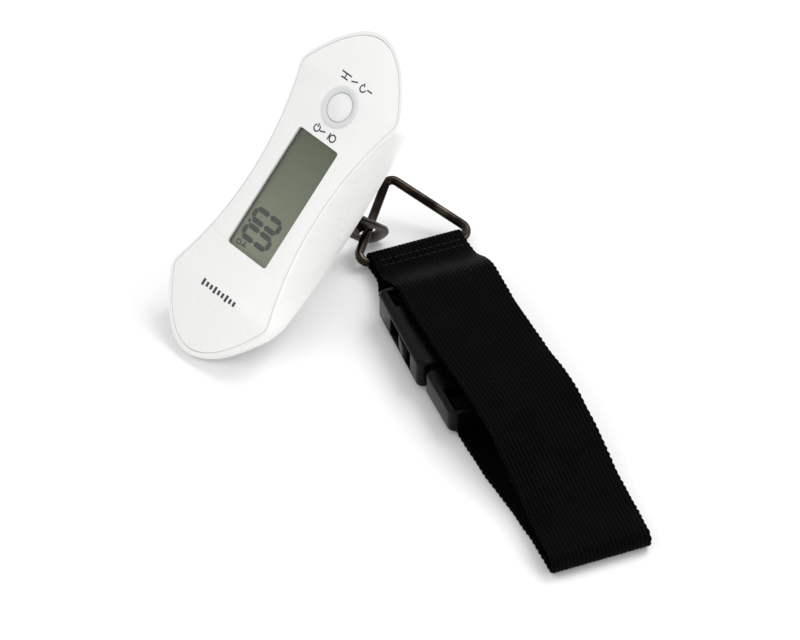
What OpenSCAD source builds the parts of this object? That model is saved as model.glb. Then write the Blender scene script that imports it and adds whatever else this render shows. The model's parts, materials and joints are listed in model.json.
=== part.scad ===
// Digital luggage scale, lying propped on its own hook with its strap laid out.
// Body axes: x along the body towards the button, y across it, z out of the face.

/* [Body] */
// Length of the housing
body_len = 136.4; // [128:0.2:146]
// Width of the housing across its two bulbs
bulb_w = 54.4; // [50:0.2:60]
// Width of the housing at its waist
waist_w = 37.2; // [36:0.2:40]
// Distance from the middle to the corner where waist and bulb meet
corner_x = 44.5; // [42:0.5:47]
// Amount that the housing's corners are rounded off
corner_ease = 0.9; // [0.4:0.1:1]
// Depth of the housing below the face at the middle
body_depth = 30.2; // [28:0.1:31]
// Depth of the housing below the face at the tips
tip_depth = 4; // [3.5:0.1:5]
// Wall of the housing
wall = 2.2; // [1.8:0.1:2.6]
// Angle between the body and the surface it lies on
pitch = 44; // [40:1:46]

/* [Face] */
// Width of the rim round the face panel at the bulb ends
rim_end = 2; // [1.6:0.1:2.4]
// Width of the rim along the waist
rim_waist = 0.9; // [0.8:0.05:1.2]
// Thickness of the face panel
panel_t = 2; // [1.8:0.1:2.2]
// Gap of the seam round the face panel
seam = 0.12; // [0.1:0.01:0.2]
// Length of the display opening
window_l = 50; // [46:0.5:52]
// Width of the display opening
window_w = 21.3; // [18:0.1:22]
// Position of the display's middle along the body
window_x = -1.4; // [-3:0.1:0]
// Position of the button along the body
button_x = 37.5; // [36.5:0.5:38.5]
// Radius of the button
button_r = 5.5; // [5:0.1:6]
// Outer radius of the ring round the button
button_ring_r = 8; // [7.6:0.1:8.4]
// Travel of the button
button_travel = 0.5; // [0.3:0.1:0.6]

/* [Hook and ring] */
// Diameter of the hook's shank
shank_d = 5; // [4.5:0.1:5.5]
// Width of the hook plate
plate_w = 12; // [11.6:0.2:14]
// Thickness of the hook plate
plate_t = 1.6; // [1.2:0.1:2]
// Radius of the hole in the hook plate
eye_r = 3.4; // [3.2:0.1:3.9]
// Angle of the hook plate about its shank
plate_turn = -34; // [-45:1:-25]
// Diameter of the ring's wire
wire_d = 3.5; // [3:0.1:3.8]
// Length of the ring's bar between its corners
bar_len = 49; // [48:0.5:52]
// Height of the ring's triangle
ring_h = 31; // [30:0.5:34]
// Bend radius of the ring's corners
ring_bend = 3; // [2.6:0.1:3.4]
// Tilt of the ring about its bar
ring_tilt = 27; // [22:1:30]
// Height of the hook's place on the ring's side, measured from the bar
hook_up = 11.8; // [10:0.1:12]

/* [Strap] */
// Width of the webbing
web_w = 38; // [30:0.5:38]
// Thickness of the webbing
web_t = 1.5; // [1.2:0.1:1.8]
// Length of the strap from the bar to its fold
strap_len = 174; // [168:1:190]
// Turn of the strap about the vertical
strap_turn = -20; // [-30:1:-10]
// Height of the top layer where it passes over the buckle
hump_z = 18; // [17:0.5:20]

/* [Buckle] */
// Width of the buckle
buckle_w = 47; // [46:0.5:50]
// Thickness of the buckle
buckle_t = 12; // [11:0.5:12.5]
// Sideways place of the buckle under the strap
buckle_x = -3.5; // [-5:0.5:0]
// Distance from the bar to the buckle
buckle_start = 26; // [24:1:30]
// Length of the buckle's socket
socket_l = 44; // [42:1:48]
// Inward turn of each release arm at full press
arm_press = 7; // [5:0.5:8]

/* [Hidden] */
$fn = 48;
eps = 0.02;

// outline of the housing and of the face panel
half_len = body_len / 2;
half_bulb = bulb_w / 2;
half_waist = waist_w / 2;
tip_half = 3;
ease_reach = 4;
panel_x = half_len - rim_end;
panel_corner = half_bulb - 1.6;
panel_waist = half_waist - rim_waist;
panel_cx = corner_x - 0.5;

// where the body stands: the tip's lower edge and the hook's end meet the surface
tip_x = half_len - end_curve(half_len, corner_x, half_bulb) * tip_half * tip_half;
face_z = tip_x * sin(pitch) + keel(tip_x) * cos(pitch);
origin_x = -12.336;
origin_y = 79.74;

// layers behind the face, all measured down from it
lens_z = -1;
lens_t = 1;
glass_z = -2.1;
glass_t = 2.6;
board_z = -7;
board_t = 1.2;
board_x0 = -35.7;
board_x1 = 52;
board_inset = 4.5;
cell_top = -5;
cell_r = 10;
cell_t = 3.2;
cell_x = -47.5;
well_gap = 0.4;
door_x0 = -59;
door_x1 = -36;
door_half = 11.5;
door_t = 1.5;
door_gap = 0.3;
door_barrel_r = 0.9;
door_barrel_in = 0.75;
door_edge = 0.5;
beam_top = -11;
beam_t = 7;
beam_w = 12;
beam_x0 = -33.5;
beam_x1 = 7;
beam_screws = [-29.5, -22];
beam_screw_r = 1.5;
mount_x0 = -34;
mount_x1 = -18;
nut_t = 2;
washer_t = 0.5;
shank_r = shank_d / 2;
case_posts = [[-34, -14.5], [-34, 14.5], [34, -14.5], [34, 14.5]];
case_post_r = 2.8;
case_split = -13.8;
board_posts = [[-33, -8], [-33, 8], [48, -9], [48, 9]];
board_post_r = 2;

// hook, ring and strap
wire_r = wire_d / 2;
bar_z = wire_r + 0.15 + web_t;
plate_drop = (face_z - bar_z - hook_up * sin(ring_tilt)) / cos(pitch);
plate_top = -body_depth - 5;
eye_z = bar_z + hook_up * sin(ring_tilt);
plate_dip = plate_w / 2 * sqrt(pow(cos(pitch), 2) + pow(cos(plate_turn) * sin(pitch), 2))
    + plate_t / 2 * abs(sin(plate_turn)) * sin(pitch);
plate_end = (eye_z - plate_dip - eps) / cos(pitch);
eye_point = [plate_drop * sin(pitch), 0, face_z - plate_drop * cos(pitch)];
hook_along = -bar_len / 2 + hook_up * (bar_len / 2) / ring_h;
bar_mid = [
    eye_point.x - hook_along * cos(strap_turn) + hook_up * cos(ring_tilt) * sin(strap_turn),
    eye_point.y - hook_along * sin(strap_turn) - hook_up * cos(ring_tilt) * cos(strap_turn),
    bar_z];
buckle_end = buckle_start + socket_l;
buckle_z = 1.9;
plug_w = 43.5;
arm_shape = [[-18.5, 0.1], [-15, 0.1], [-14.6, 20], [-13, 28], [-15.5, 28.5], [-20, 26.5],
    [-23, 21], [-24, 14.5], [-23, 13.6], [-18, 13.4]];

// half width of an outline at x: an arc along the waist, a parabola round each end
function waist_arc(cx, wide, thin) =
    (cx * cx + pow(wide - thin, 2)) / (2 * (wide - thin));
function end_curve(end, cx, wide) = (end - cx) / (wide * wide);
function half_width(x, end, cx, wide, thin) =
    abs(x) <= cx
        ? thin + waist_arc(cx, wide, thin) - sqrt(pow(waist_arc(cx, wide, thin), 2) - x * x)
        : sqrt(max(0, (end - abs(x)) / end_curve(end, cx, wide)));

// the same with its corner rounded off
function eased_width(x, end, cx, wide, thin) = half_width(x, end, cx, wide, thin)
    - corner_ease * pow(max(0, 1 - abs(abs(x) - cx) / ease_reach), 2);

// stations along an outline, close together round the ends
function end_stations(end, cx, wide, n) =
    [for (i = [0 : n - 1])
        let (w = tip_half + (wide - tip_half) * i / n)
        end - end_curve(end, cx, wide) * w * w];
function waist_stations(cx, n) = [for (i = [0 : n]) cx - 2 * cx * i / n];
function stations(end, cx, wide) = concat(
    end_stations(end, cx, wide, 7),
    waist_stations(cx, 14),
    [for (i = [6 : -1 : 0]) -end_stations(end, cx, wide, 7)[i]]);

// the keel line of the housing and how square its sections are
function keel(x) = tip_depth + (body_depth - tip_depth) * (1 - pow(x / half_len, 2));
function squareness(x) =
    abs(x) < corner_x
        ? 2.4 + 2.6 * (1 - pow(x / corner_x, 2))
        : 2.4 + 2.6 * pow((abs(x) - corner_x) / (half_len - corner_x), 3);
function section(w, d, p, n) = [for (i = [0 : n])
    let (a = 180 * i / n)
    [w * sign(cos(a)) * pow(abs(cos(a)), 2 / p), -d * pow(abs(sin(a)), 2 / p)]];

// the housing's shape, drawn in by inset on every side but the top, which rises to lift
module hull_shape(inset = 0, lift = 0) {
    side_points = 16;
    end = half_len - inset;
    cx = corner_x - inset * 0.3;
    wide = half_bulb - inset;
    thin = half_waist - inset;
    xs = stations(end, cx, wide);
    ring = side_points + (lift > 0 ? 3 : 1);
    rings = [for (x = xs)
        let (w = eased_width(x, end, cx, wide, thin))
        let (s = section(w, keel(x) - inset, squareness(x), side_points))
        let (closed = lift > 0 ? concat(s, [[-w, lift], [w, lift]]) : s)
        [for (q = closed) [x, q[0], q[1]]]];
    points = [for (r = rings) for (q = r) q];
    last = len(xs) - 1;
    walls = [for (i = [0 : last - 1]) for (j = [0 : ring - 1])
        let (k = (j + 1) % ring)
        each [
            [i * ring + j, (i + 1) * ring + j, (i + 1) * ring + k],
            [i * ring + j, (i + 1) * ring + k, i * ring + k]]];
    caps = [
        [for (j = [0 : ring - 1]) j],
        [for (j = [ring - 1 : -1 : 0]) last * ring + j]];
    polyhedron(points = points, faces = concat(walls, caps), convexity = 4);
}

// flat outline of the face, grown by more
module face_outline(more = 0) {
    xs = stations(panel_x, panel_cx, panel_corner);
    upper = [for (x = xs) [x, half_width(x, panel_x, panel_cx, panel_corner, panel_waist) + more]];
    lower = [for (i = [len(xs) - 1 : -1 : 0]) [upper[i][0], -upper[i][1]]];
    flat = tip_half * 0.4;
    tip = [[panel_x + more, -flat], [panel_x + more, flat]];
    butt = [[-panel_x - more, flat], [-panel_x - more, -flat]];
    polygon(concat(upper, butt, lower, tip));
}

module slab(x0, x1, half_y, z0, z1) {
    translate([x0, -half_y, z0]) cube([x1 - x0, 2 * half_y, z1 - z0]);
}

module rounded_rect(l, w, r) {
    hull()
        for (sx = [-1, 1]) for (sy = [-1, 1])
            translate([sx * (l / 2 - r), sy * (w / 2 - r)]) circle(r, $fn = 24);
}

module pin(x, y, z0, z1, r) {
    translate([x, y, z0]) cylinder(h = z1 - z0, r = r);
}

// from body axes to where the body lies
module in_body() {
    translate([origin_x, origin_y, face_z]) rotate([0, -pitch, 0]) children();
}

// from strap axes (x along the bar, y back towards the hook) to where the strap lies
module in_strap() {
    translate([origin_x, origin_y, 0] + [bar_mid.x, bar_mid.y, 0]) rotate([0, 0, strap_turn]) children();
}

// the housing: a deep boat with a rim, a battery well, a load cell mount and screw posts
module housing_void() {
    difference() {
        hull_shape(wall, 1);
        slab(mount_x0, mount_x1, 7.5, -body_depth, beam_top - beam_t - 0.2);
        for (q = case_posts) pin(q[0], q[1], -body_depth, case_split - 0.2, 3.6);
        pin(cell_x, 0, -body_depth, cell_top - 0.6, cell_r + well_gap + 1.2);
        pin(0, 0, -body_depth, -body_depth + 5, 7.5);
    }
}

module housing() {
    color("white") in_body() difference() {
        hull_shape();
        housing_void();
        translate([0, 0, -panel_t]) linear_extrude(panel_t + 1) face_outline(seam);
        pin(cell_x, 0, -body_depth - 1, 0, cell_r + well_gap);
        difference() {
            slab(door_x0 - door_gap, door_x1 + door_gap, door_half + door_gap, -body_depth, -2);
            hull_shape(door_t + door_gap);
        }
        door_barrel(door_gap);
        for (q = case_posts) {
            pin(q[0], q[1], -body_depth, 0, 1.3);
            pin(q[0], q[1], -body_depth - 1, case_split - 3.6, 2.4);
        }
        for (x = beam_screws) pin(x, 0, -21.8, 0, beam_screw_r + 0.05);
        pin(0, 0, -body_depth - 1, 0, shank_r + 2.5);
    }
}

// the face panel with its posts for the case and board screws
module face_panel() {
    color("white") in_body() difference() {
        union() {
            translate([0, 0, -panel_t]) linear_extrude(panel_t) face_outline();
            for (q = case_posts) pin(q[0], q[1], case_split, -panel_t + eps, case_post_r);
            for (q = board_posts) pin(q[0], q[1], board_z, -panel_t + eps, board_post_r);
        }
        translate([window_x, 0, -panel_t - 1])
            linear_extrude(panel_t + 2) rounded_rect(window_l, window_w, 1.2);
        translate([window_x - window_l / 2 - 1.2, -window_w / 2 - 1.2, -panel_t - 1])
            cube([window_l + 2.4, window_w + 2.4, panel_t + 1 + lens_z]);
        pin(button_x, 0, -panel_t - 1, 1, button_ring_r);
        for (q = case_posts) pin(q[0], q[1], case_split - 1, -6, 1.05);
        for (q = board_posts) pin(q[0], q[1], board_z - 1, -panel_t - 1, 0.75);
    }
}

module display_window() {
    color("lightgray") in_body()
        translate([window_x - window_l / 2 - 1.1, -window_w / 2 - 1.1, lens_z - lens_t])
            cube([window_l + 2.2, window_w + 2.2, lens_t]);
}

// two sheets of glass, the rear one longer for its contacts
module display_glass() {
    color("darkolivegreen") in_body() {
        translate([window_x - 27, -12.2, glass_z - glass_t / 2]) cube([54, 24.4, glass_t / 2]);
        translate([window_x - 27, -12.8, glass_z - glass_t]) cube([54, 25.6, glass_t / 2]);
    }
}

module display_frame() {
    frame_in = [54.3, 25.9];
    frame_out = [56.6, 28.2];
    color("dimgray") in_body() difference() {
        translate([window_x - frame_out.x / 2, -frame_out.y / 2, board_z])
            cube([frame_out.x, frame_out.y, glass_z - board_z]);
        translate([window_x - frame_in.x / 2, -frame_in.y / 2, glass_z - glass_t])
            cube([frame_in.x, frame_in.y, glass_t + 1]);
        translate([window_x - frame_in.x / 2 + 1, -11.9, board_z - 1])
            cube([frame_in.x - 2, 23.8, 10]);
    }
}

module contact_strips() {
    color("darkslategray") in_body()
        for (s = [-1, 1])
            translate([window_x - 24, s * 10.8 - 0.9, board_z])
                cube([48, 1.8, glass_z - glass_t - board_z]);
}

// the board follows the waist and is notched round the case posts
module circuit_board() {
    color("darkgreen") in_body() difference() {
        translate([0, 0, board_z - board_t]) linear_extrude(board_t) intersection() {
            face_outline(-board_inset);
            translate([board_x0, -half_bulb]) square([board_x1 - board_x0, bulb_w]);
        }
        for (q = case_posts) {
            pin(q[0], q[1], board_z - 3, 0, case_post_r + 0.6);
            translate([q[0] - 3.4, q[1] > 0 ? q[1] : q[1] - 10, board_z - 3]) cube([6.8, 10, 5]);
        }
        for (q = board_posts) pin(q[0], q[1], board_z - 3, 0, 0.9);
    }
}

// chip under its resin, a crystal and the small resistors, all under the board
module board_parts() {
    under = board_z - board_t;
    color("black") in_body() {
        translate([22, 0, under]) intersection() {
            translate([0, 0, 10.6]) sphere(12, $fn = 64);
            translate([0, 0, -1.6]) cylinder(h = 1.6, r = 6);
        }
        translate([37, 8, under - 2]) cube([8, 3, 2]);
        for (i = [0 : 4]) translate([32 + 3 * i, -9.5, under - 0.6]) cube([1.6, 0.8, 0.6]);
        for (i = [0 : 2]) translate([13, -6 + 4 * i, under - 0.8]) cube([2, 1.2, 0.8]);
    }
}

// lies in the face round the button, with a low rounded lip
module button_ring() {
    lip = 0.35;
    color("silver") in_body() translate([button_x, 0, 0])
        rotate_extrude() polygon([
            [button_r + 0.1, -panel_t], [button_ring_r - 0.02, -panel_t],
            [button_ring_r - 0.02, 0.05], [button_ring_r - 0.4, lip],
            [button_ring_r - 1, lip + 0.05], [button_r + 0.7, lip - 0.1], [button_r + 0.1, -0.2]]);
}

// domed cap with the flange that stops it under the ring
module power_button() {
    dome_r = 16;
    dome_top = 0.9;
    color("gainsboro") in_body() translate([button_x, 0, 0]) {
        intersection() {
            translate([0, 0, dome_top - dome_r]) sphere(dome_r, $fn = 96);
            translate([0, 0, -panel_t - 0.1]) cylinder(h = 6, r = button_r);
        }
        translate([0, 0, -panel_t - 0.9]) cylinder(h = 0.8, r = button_r + 1.2);
    }
}

module switch_body() {
    color("dimgray") in_body() translate([button_x, 0, board_z]) difference() {
        translate([-3, -3, 0]) cube([6, 6, 2.8]);
        translate([0, 0, 0.6]) cylinder(h = 5, r = 1.75);
    }
}

module switch_plunger() {
    color("black") in_body() translate([button_x, 0, board_z + 1.6]) cylinder(h = 2.3, r = 1.7);
}

module coin_cell() {
    color("silver") in_body() translate([cell_x, 0, cell_top]) {
        translate([0, 0, -0.4]) cylinder(h = 0.4, r = cell_r - 1.2);
        translate([0, 0, -cell_t]) cylinder(h = cell_t - 0.4, r = cell_r);
    }
}

// spring leaf over the cell, soldered to the board's end
module battery_contact_top() {
    color("silver") in_body() rotate([90, 0, 0]) translate([0, 0, -2.5]) linear_extrude(5)
        polygon([[-52, -4.9], [-45, -3.9], [-35.4, -3.9], [-34.6, -6.7], [-32.5, -6.7], [-32.5, -6.95],
            [-34.8, -6.95], [-35.6, -4.2], [-45, -4.2], [-52, -4.99]]);
}

// upright strip that presses on the cell's edge
module battery_contact_side() {
    color("silver") in_body() {
        translate([cell_x - 1, cell_r + 0.03, -8]) cube([2, 0.3, 4.4]);
        translate([cell_x - 1, cell_r + 0.03, -3.9]) cube([14, 0.3, 0.3]);
    }
}

module door_barrel(more = 0) {
    translate([door_x0, 0, door_barrel_in - keel(door_x0)]) rotate([90, 0, 0])
        translate([0, 0, -4 - more]) cylinder(h = 8 + 2 * more, r = door_barrel_r + more);
}

// a piece of the back, with the round tab it tilts on and a latch tongue
module battery_door() {
    color("whitesmoke") in_body() union() {
        intersection() {
            slab(door_x0 + door_edge, door_x1, door_half, -body_depth, -2);
            difference() {
                hull_shape(0.05);
                hull_shape(door_t);
            }
        }
        door_barrel();
    }
}

// bending beam: two joined round windows make its thin bridges
module load_cell() {
    mid = beam_top - beam_t / 2;
    color("silver") in_body() difference() {
        slab(beam_x0, beam_x1, beam_w / 2, beam_top - beam_t, beam_top);
        for (x = [-13.5, -7.5])
            translate([x, beam_w, mid]) rotate([90, 0, 0]) cylinder(h = 2 * beam_w, r = 2.6);
        translate([-13.5, -beam_w, mid - 1]) cube([6, 2 * beam_w, 2]);
        for (x = beam_screws) {
            pin(x, 0, beam_top - beam_t - 1, beam_top + 1, beam_screw_r + 0.1);
            pin(x, 0, beam_top - 2.2, beam_top + 1, 3);
        }
        pin(0, 0, beam_top - beam_t - 1, beam_top + 1, shank_r + 0.1);
    }
}

module strain_gauges() {
    color("peru") in_body()
        for (x = [-13.5, -7.5]) {
            translate([x - 2, -2.5, beam_top]) cube([4, 5, 0.25]);
            translate([x - 2, -2.5, beam_top - beam_t - 0.25]) cube([4, 5, 0.25]);
        }
}

// four fine leads laid side by side from the beam up to the board
module gauge_wires() {
    color("firebrick") in_body()
        for (i = [0 : 3])
            translate([0, 4.98 + 0.33 * i, 0]) rotate([90, 0, 0]) linear_extrude(0.28)
                polygon([[-12, -10.98], [-12, -10.4], [-5, -9.8], [4, -8.7], [12, -8.2], [12, -8.7],
                    [4.2, -9.2], [-5, -10.3], [-11.4, -10.98]]);
}

module load_cell_screws() {
    color("gray") in_body()
        for (x = beam_screws) {
            pin(x, 0, -21.6, beam_top - 2.2, beam_screw_r);
            difference() {
                pin(x, 0, beam_top - 2.2, beam_top - 0.3, 2.8);
                translate([x, 0, beam_top - 1.5]) cylinder(h = 2, r = 1.4, $fn = 6);
            }
        }
}

// flanged bush in the middle of the back
module hook_bush() {
    color("lightgray") in_body() rotate_extrude() polygon([
        [shank_r + 0.08, -body_depth - 1.2], [shank_r + 4.5, -body_depth - 1.2],
        [shank_r + 4.5, -body_depth - 0.05], [shank_r + 2.48, -body_depth - 0.05],
        [shank_r + 2.48, -body_depth + 5], [shank_r + 0.08, -body_depth + 5]]);
}

// threaded shank with a slotted round head that holds the plate
module hook_stud() {
    head_top = -body_depth - 1.4;
    color("dimgray") in_body() difference() {
        union() {
            pin(0, 0, head_top, beam_top + washer_t + nut_t, shank_r);
            pin(0, 0, head_top - 8, head_top + eps, 5.6);
        }
        rotate([0, 0, plate_turn])
            translate([-plate_w, -plate_t / 2, head_top - 9]) cube([2 * plate_w, plate_t, 5]);
    }
}

module hook_washer() {
    color("silver") in_body() difference() {
        pin(0, 0, beam_top, beam_top + washer_t, 5);
        pin(0, 0, beam_top - 1, beam_top + 2, shank_r + 0.1);
    }
}

module hook_nut() {
    color("silver") in_body() translate([0, 0, beam_top + washer_t]) difference() {
        cylinder(h = nut_t, r = 4.6, $fn = 6);
        translate([0, 0, -1]) cylinder(h = nut_t + 2, r = shank_r);
    }
}

// flat plate with a round end and the eye that the ring hangs in
module hook_plate() {
    color("silver") in_body() rotate([0, 0, plate_turn]) rotate([90, 0, 0])
        translate([0, 0, -plate_t / 2]) linear_extrude(plate_t) difference() {
            union() {
                translate([-plate_w / 2, -plate_drop - plate_end])
                    square([plate_w, plate_drop + plate_end + plate_top - 3]);
                translate([-5, plate_top - 4]) square([10, 3.6]);
                translate([0, -plate_drop - plate_end]) circle(plate_w / 2);
            }
            translate([0, -plate_drop]) circle(eye_r);
        }
}

// round wire bent into a triangle, drawn as straights and corner bends
module triangle_ring() {
    lean = atan2(ring_h, bar_len / 2);
    corners = [[-bar_len / 2, 0], [bar_len / 2, 0], [0, ring_h]];
    turns = [180 - lean, 180 - lean, 2 * lean];
    headings = [0, 180 - lean, 180 + lean];
    reach = [for (t = turns) ring_bend * tan(t / 2)];
    lap = 0.15;
    lengths = [bar_len, norm([bar_len / 2, ring_h]), norm([bar_len / 2, ring_h])];
    color("dimgray") in_strap() translate([0, 0, bar_z]) rotate([ring_tilt, 0, 0])
        for (i = [0 : 2]) {
            next = (i + 1) % 3;
            translate(corners[i]) rotate([0, 0, headings[i]]) translate([reach[i] - lap, 0, 0])
                rotate([0, 90, 0])
                    cylinder(h = lengths[i] - reach[i] - reach[next] + 2 * lap, r = wire_r - 0.01);
            translate(corners[i]) rotate([0, 0, headings[i]]) translate([reach[i], ring_bend, 0])
                rotate([0, 0, -90 - turns[i]])
                    rotate_extrude(angle = turns[i]) translate([ring_bend, 0]) circle(wire_r);
        }
}

// a band of webbing along a line of points [back, up], each a distance from the bar
function band_dir(p, i) = p[min(i + 1, len(p) - 1)] - p[max(i - 1, 0)];
function band_side(p, i, off) =
    let (d = band_dir(p, i) / norm(band_dir(p, i))) p[i] + off * [-d[1], d[0]];
function band(p, t) = concat(
    [for (i = [0 : len(p) - 1]) band_side(p, i, t / 2)],
    [for (i = [len(p) - 1 : -1 : 0]) band_side(p, i, -t / 2)]);
function arc(c, r, a0, a1, n) = [for (i = [0 : n]) let (a = a0 + (a1 - a0) * i / n)
    c + r * [cos(a), sin(a)]];
function ease(a, b, n) = [for (i = [1 : n - 1]) let (t = i / n)
    [a[0] + (b[0] - a[0]) * t, a[1] + (b[1] - a[1]) * (3 - 2 * t) * t * t]];

// the band as a solid, its middle drifting sideways by drift[i] at each point
module web(p, drift) {
    side = band(p, web_t);
    n = len(side);
    shift = concat(drift, [for (i = [len(drift) - 1 : -1 : 0]) drift[i]]);
    points = [for (s = [-1, 1]) for (i = [0 : n - 1])
        [shift[i] + s * web_w / 2, side[i][0], side[i][1]]];
    half = len(p);
    ribs = [for (i = [0 : half - 2]) [i, i + 1, n - 2 - i, n - 1 - i]];
    walls = [for (i = [0 : n - 1]) let (k = (i + 1) % n) each [[i, n + k, k], [i, n + i, n + k]]];
    polyhedron(points = points, faces = concat(
        [for (r = ribs) each [[r[0], r[1], r[2]], [r[0], r[2], r[3]]]],
        [for (r = ribs) each [[n + r[0], n + r[2], n + r[1]], [n + r[0], n + r[3], n + r[2]]]],
        walls), convexity = 8);
}
function drift_after(p, i0, i1, far) = [for (i = [0 : len(p) - 1])
    let (t = min(1, max(0, (i - i0) / (i1 - i0)))) far * t * t * (3 - 2 * t)];

// the long webbing: round the bar, over the buckle, round the fold and back to the plug
wrap_r = wire_r + 0.15 + web_t / 2;
fold_r = 3.4;
low_z = web_t / 2;
low_run = -strap_len + 14;
fold_mid = [-strap_len + fold_r, fold_r + low_z];
over_start = [-9, bar_z + wrap_r];
over_up = [-buckle_start - 9, hump_z];
over_down = [-buckle_end - 26, hump_z];
fold_top = [-strap_len + 22, 2 * fold_r + low_z - 0.9];
plug_loop = [[27, low_z], [24.6, 1.05], [23.6, 2.2], [23.5, 4], [23.5, 9], [22.7, 10.45], [21.4, 10.95],
    [19.2, 10.95], [17.9, 10.45], [17.2, 9], [17.2, 3.5]];
strap_line = concat(
    arc([0, bar_z], wrap_r, 0, 90, 6),
    [over_start], ease(over_start, over_up, 8), [over_up],
    [for (t = [0.25, 0.5, 0.75]) over_up + t * (over_down - over_up)],
    [over_down], ease(over_down, fold_top, 8), [fold_top],
    arc(fold_mid, fold_r, 90, 270, 10), [[low_run, low_z]],
    [for (q = plug_loop) [-buckle_end - q[0], q[1]]]);

module strap() {
    run = len(strap_line) - len(plug_loop) - 1;
    color("black") in_strap() web(strap_line, drift_after(strap_line, run, run + 1, buckle_x));
}

// the short webbing that ties the socket to the bar, round the socket's own slot bar
socket_loop = [[1.6, low_z], [3, 1.25], [3.7, 2.6], [3.7, 10.4], [4.5, 12.1], [5.6, 12.6], [7.9, 12.6],
    [9.2, 12.1], [10, 10.4], [10, 3.5]];
tab_line = concat(
    arc([0, bar_z], wrap_r, -10, -90, 6), [[-6, low_z], [-22, low_z]],
    [for (q = socket_loop) [-buckle_start - q[0], q[1]]]);
module strap_tab() {
    color("black") in_strap() web(tab_line, drift_after(tab_line, 7, 8, buckle_x));
}

// box stitches where each webbing end is sewn down
module stitching() {
    color("dimgray") in_strap()
        for (row = [-1, 1]) for (i = [0 : 7])
            translate([-15.2 + 4 * i, -6 + 1.6 * row, bar_z + wrap_r + web_t / 2])
                cube([2.4, 0.5, 0.25]);
}

module in_buckle(back) {
    in_strap() translate([buckle_x, -back, buckle_z]) children();
}

// flat outline of the buckle's socket: wide mouth, narrow end
module socket_outline() {
    hull() {
        translate([-buckle_w / 2 + 3, -socket_l + 3]) circle(3, $fn = 32);
        translate([buckle_w / 2 - 3, -socket_l + 3]) circle(3, $fn = 32);
        translate([-buckle_w / 2 + 4.2, -3]) circle(3, $fn = 32);
        translate([buckle_w / 2 - 4.2, -3]) circle(3, $fn = 32);
    }
}

// the socket, hollow for the plug, with side windows for the arms and a slot for the tab
module buckle_socket() {
    side_open = 21;
    color("black") in_buckle(buckle_start) difference() {
        linear_extrude(buckle_t) socket_outline();
        for (y = [-11.5, -5]) translate([-19.5, y, -1]) cube([39, y < -6 ? 3 : 2.6, 20]);
        translate([-19.5, -11.5, 9.7]) cube([39, 9.1, 20]);
        translate([-20.5, -socket_l - 1, 2.4]) cube([41, socket_l - 13, buckle_t - 4.8]);
        for (s = [-1, 1])
            translate([s * buckle_w / 2 - 6, -socket_l + 9, 2]) cube([12, side_open, buckle_t - 4]);
    }
}

// the plug: a webbing slot, a stiff centre guide and the root of its two arms
module buckle_plug() {
    color("black") in_buckle(buckle_end) difference() {
        union() {
            translate([-plug_w / 2, -26, 0]) cube([plug_w, 25.5, buckle_t - 2]);
            translate([-5, -0.6, 3]) cube([10, 24, buckle_t - 6.2]);
        }
        translate([-19.5, -18.6, -1]) cube([39, 6, 20]);
        translate([-19.5, -25, -1]) cube([39, 3, 20]);
        translate([-19.5, -25, 8.1]) cube([39, 12, 20]);
    }
}

// one arm: a leg from the plug, its hook head bulging out of the socket's side
module release_arm() {
    translate([0, 0, 2.8]) linear_extrude(buckle_t - 5.8) polygon(arm_shape);
}
module release_arm_left() {
    color("black") in_buckle(buckle_end) release_arm();
}
module release_arm_right() {
    color("black") in_buckle(buckle_end) mirror([1, 0, 0]) release_arm();
}

module case_screws() {
    color("gray") in_body() for (q = case_posts) difference() {
        union() {
            pin(q[0], q[1], case_split - 3.6, -7, 1);
            pin(q[0], q[1], case_split - 5.2, case_split - 3.6, 2.1);
        }
        for (a = [0, 90]) translate([q[0], q[1], case_split - 5.2]) rotate([0, 0, a])
            translate([-1.4, -0.25, -1]) cube([2.8, 0.5, 1.8]);
    }
}

module board_screws() {
    under = board_z - board_t;
    color("gray") in_body() for (q = board_posts) difference() {
        union() {
            pin(q[0], q[1], under - eps, board_z + 3, 0.7);
            pin(q[0], q[1], under - 1.1, under, 1.7);
        }
        translate([q[0] - 1.1, q[1] - 0.2, under - 2]) cube([2.2, 0.4, 1.4]);
    }
}

housing();
face_panel();
display_window();
display_glass();
display_frame();
contact_strips();
circuit_board();
board_parts();
button_ring();
power_button();
switch_body();
switch_plunger();
coin_cell();
battery_contact_top();
battery_contact_side();
battery_door();
load_cell();
strain_gauges();
gauge_wires();
load_cell_screws();
hook_bush();
hook_stud();
hook_washer();
hook_nut();
hook_plate();
triangle_ring();
strap();
strap_tab();
stitching();
buckle_socket();
buckle_plug();
release_arm_left();
release_arm_right();
case_screws();
board_screws();
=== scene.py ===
"""A palm-held luggage scale lying propped on its hook, with its webbing loop laid out beside it."""
import json
import math
import random

import bmesh
import bpy
from mathutils import Matrix, Vector


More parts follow.
